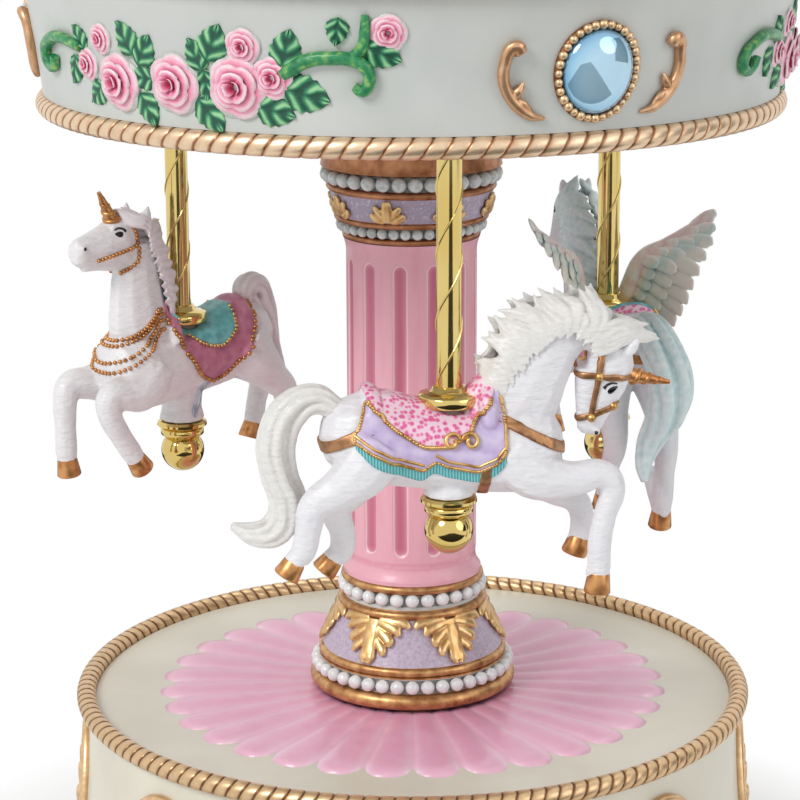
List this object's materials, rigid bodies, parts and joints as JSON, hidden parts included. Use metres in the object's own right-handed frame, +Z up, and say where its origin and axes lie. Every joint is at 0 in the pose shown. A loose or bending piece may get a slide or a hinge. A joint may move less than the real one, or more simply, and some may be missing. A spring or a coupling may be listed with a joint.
{
  "type": "carousel music box",
  "caption": "Wind-up carousel music box: a round base with a key under it, a fluted column, and a turning canopy that carries winged and horned horses on twisted brass poles.",
  "frame": {"origin": "on the vertical axis at table level, under the middle of the base", "axes": "+Z up along the axis of rotation, -Y towards the front of the picture, +X to the viewer's right"},
  "size_m": [0.1708, 0.1708, 0.2638],
  "materials": {
    "cream_resin": "satin paint",
    "gilt_trim": "gilt paint",
    "pink_resin": "satin paint",
    "lavender_resin": "satin paint",
    "pearl": "pearl",
    "green_paint": "satin paint",
    "blue_glass": "polished",
    "white_resin": "gloss paint",
    "brass": "polished",
    "steel": "plain",
    "zinc": "cast",
    "black_plastic": "matte",
    "rubber": "matte"
  },
  "bodies": {
    "base": {"base_shell": "cream_resin", "base_rope": "gilt_trim", "petal_rosette": "pink_resin", "skirt_scrolls": "gilt_trim", "bottom_cover": "black_plastic", "cover_screws": "steel", "feet": "rubber", "bedplate": "zinc", "bedplate_screws": "steel", "tone_comb": "steel", "comb_screws": "steel", "governor_housing": "black_plastic", "base_bush": "brass", "pedestal": "lavender_resin", "pedestal_pearls": "pearl", "pedestal_leaves": "gilt_trim", "column_shaft": "pink_resin", "capital": "lavender_resin", "capital_pearls": "pearl", "capital_leaves": "gilt_trim", "column_bush": "brass"},
    "carousel": {"canopy_drum": "cream_resin", "canopy_rope": "gilt_trim", "cornice_rope": "gilt_trim", "canopy_roof": "pink_resin", "finial": "gilt_trim", "canopy_hub": "brass", "gem_front": "blue_glass", "gem_back": "blue_glass", "gem_left": "blue_glass", "gem_bezels": "gilt_trim", "canopy_scrolls": "gilt_trim", "garland_roses": "pink_resin", "garland_leaves": "green_paint", "pole_front": "brass", "pole_right": "brass", "pole_left": "brass", "pole_rods": "steel", "top_flanges": "brass", "belly_cups": "brass", "ball_finials": "brass", "rod_nuts": "steel", "front_unicorn": "white_resin", "left_unicorn": "white_resin", "winged_horse": "white_resin", "drive_shaft": "steel", "spring_barrel": "steel", "barrel_cover": "steel", "mainspring": "steel"},
    "winder": {"winding_key": "brass", "winding_arbor": "steel"},
    "cylinder": {"melody_cylinder": "brass"},
    "governor": {"governor_wheel": "brass"}
  },
  "joints": [
    {"name": "carousel_spin", "type": "hinge", "parent": "base", "child": "carousel", "pos_m": [0, 0, 0], "axis": [0, 0, 1], "continuous": true},
    {"name": "key_wind", "type": "hinge", "parent": "base", "child": "winder", "pos_m": [0, 0, 0], "axis": [0, 0, 1], "continuous": true},
    {"name": "cylinder_spin", "type": "hinge", "parent": "base", "child": "cylinder", "pos_m": [0, 0, 0.03998], "axis": [1, 0, 0], "continuous": true},
    {"name": "governor_spin", "type": "hinge", "parent": "base", "child": "governor", "pos_m": [0, -0.01005, 0.03998], "axis": [1, 0, 0], "continuous": true}
  ],
  "couplings": [
    {"joint": "cylinder_spin", "follows": "carousel_spin", "ratio": 2.5},
    {"joint": "governor_spin", "follows": "carousel_spin", "ratio": -7.5}
  ]
}
